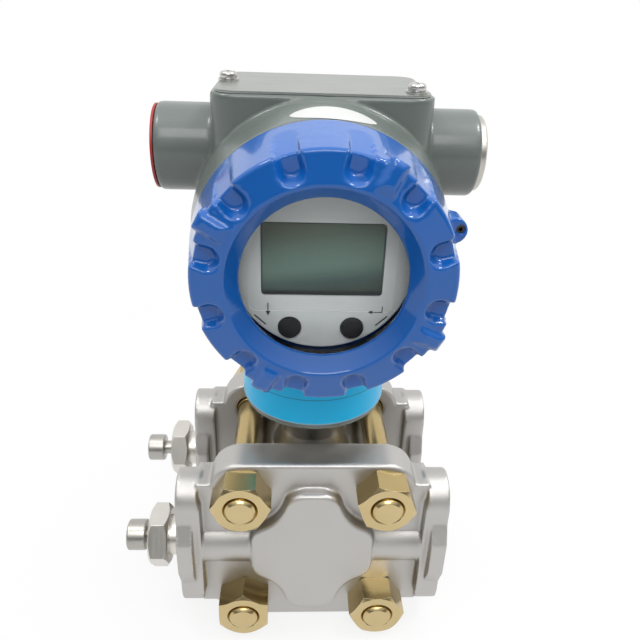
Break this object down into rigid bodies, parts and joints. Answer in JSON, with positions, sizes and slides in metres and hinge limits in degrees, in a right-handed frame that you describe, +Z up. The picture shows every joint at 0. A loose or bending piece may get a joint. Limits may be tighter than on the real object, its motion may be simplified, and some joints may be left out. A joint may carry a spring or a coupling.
{
  "type": "differential pressure transmitter",
  "caption": "Differential pressure transmitter with bolted process heads, turning housing, windowed screw cap with display, and side process ports.",
  "frame": {"origin": "on the floor under the middle of the part's outline", "axes": "+Z up along the neck, -Y out of the display window, +X towards the open process ports"},
  "size_m": [0.1304, 0.1284, 0.2077],
  "materials": {
    "cast_steel": "satin cast stainless steel",
    "turned_steel": "turned stainless steel",
    "zinc_steel": "yellow zinc plated",
    "grey_paint": "gloss grey paint on cast aluminium",
    "blue_paint": "gloss blue paint on cast aluminium",
    "black_rubber": "matte",
    "white_gasket": "matte",
    "window": "clear",
    "black_metal": "black oxide",
    "light_plastic": "satin moulded",
    "dark_plastic": "satin moulded",
    "screen": "glossy",
    "green_board": "solder resist",
    "film": "printed film",
    "plate": "brushed",
    "red_plastic": "moulded",
    "bright_metal": "plated"
  },
  "bodies": {
    "meter": {"head_bolt_bottom_left": "zinc_steel", "head_bolt_bottom_right": "zinc_steel", "head_bolt_top_left": "zinc_steel", "head_bolt_top_right": "zinc_steel", "head_gasket_front": "white_gasket", "head_gasket_rear": "white_gasket", "head_nut_bottom_left": "zinc_steel", "head_nut_bottom_right": "zinc_steel", "head_nut_top_left": "zinc_steel", "head_nut_top_right": "zinc_steel", "isolating_diaphragm_front": "turned_steel", "isolating_diaphragm_rear": "turned_steel", "meter_body": "turned_steel", "process_head_front": "cast_steel", "process_head_rear": "cast_steel", "vent_plug_front": "turned_steel", "vent_plug_rear": "turned_steel"},
    "vent_stem_front": {"vent_stem_front": "turned_steel"},
    "vent_stem_rear": {"vent_stem_rear": "turned_steel"},
    "housing": {"conduit_plug": "bright_metal", "display_bezel": "light_plastic", "display_board": "green_board", "display_screen": "screen", "dust_plug": "red_plastic", "electronics_module": "dark_plastic", "housing": "grey_paint", "name_plate": "plate", "neck_label": "film", "neck_set_screw": "black_metal", "plate_screw_left": "bright_metal", "plate_screw_right": "bright_metal", "plate_washer_left": "bright_metal", "plate_washer_right": "bright_metal", "terminal_block": "dark_plastic", "terminal_screw_left": "bright_metal", "terminal_screw_middle": "bright_metal", "terminal_screw_right": "bright_metal"},
    "front_seal": {"front_cap_seal": "black_rubber"},
    "front_cap": {"front_cap": "blue_paint", "front_lock_screw": "black_metal", "window_gasket": "black_rubber", "window_glass": "window", "window_retainer": "black_metal"},
    "rear_seal": {"rear_cap_seal": "black_rubber"},
    "rear_cap": {"rear_cap": "blue_paint", "rear_lock_screw": "black_metal"},
    "menu_button": {"menu_button": "dark_plastic"},
    "enter_button": {"enter_button": "dark_plastic"}
  },
  "joints": [
    {"name": "housing_turn", "type": "hinge", "parent": "meter", "child": "housing", "pos_m": [0.00885, -0.009, 0.1], "axis": [0, 0, 1], "range_deg": [-90, 90]},
    {"name": "vent_front_turn", "type": "hinge", "parent": "meter", "child": "vent_stem_front", "pos_m": [-0.05115, -0.036, 0.0395], "axis": [-1, 0, 0], "range_deg": [0, 720]},
    {"name": "vent_rear_turn", "type": "hinge", "parent": "meter", "child": "vent_stem_rear", "pos_m": [-0.05115, 0.018, 0.0395], "axis": [-1, 0, 0], "range_deg": [0, 720]},
    {"name": "front_cap_travel", "type": "slide", "parent": "housing", "child": "front_seal", "axis": [0, -1, 0], "range_m": [0, 0.01]},
    {"name": "front_cap_turn", "type": "hinge", "parent": "front_seal", "child": "front_cap", "pos_m": [0.00885, -0.049, 0.1599], "axis": [0, -1, 0], "range_deg": [0, 1800]},
    {"name": "rear_cap_travel", "type": "slide", "parent": "housing", "child": "rear_seal", "axis": [0, 1, 0], "range_m": [0, 0.01]},
    {"name": "rear_cap_turn", "type": "hinge", "parent": "rear_seal", "child": "rear_cap", "pos_m": [0.00885, 0.051, 0.1599], "axis": [0, 1, 0], "range_deg": [0, 1800]},
    {"name": "menu_button_press", "type": "slide", "parent": "housing", "child": "menu_button", "axis": [0, 1, 0], "range_m": [0, 0.0008], "stiffness_N_per_m": 1500, "springref_m": -0.0004},
    {"name": "enter_button_press", "type": "slide", "parent": "housing", "child": "enter_button", "axis": [0, 1, 0], "range_m": [0, 0.0008], "stiffness_N_per_m": 1500, "springref_m": -0.0004}
  ],
  "couplings": [
    {"joint": "front_cap_travel", "follows": "front_cap_turn", "m_per_rad": 0.00031831},
    {"joint": "rear_cap_travel", "follows": "rear_cap_turn", "m_per_rad": 0.00031831}
  ]
}
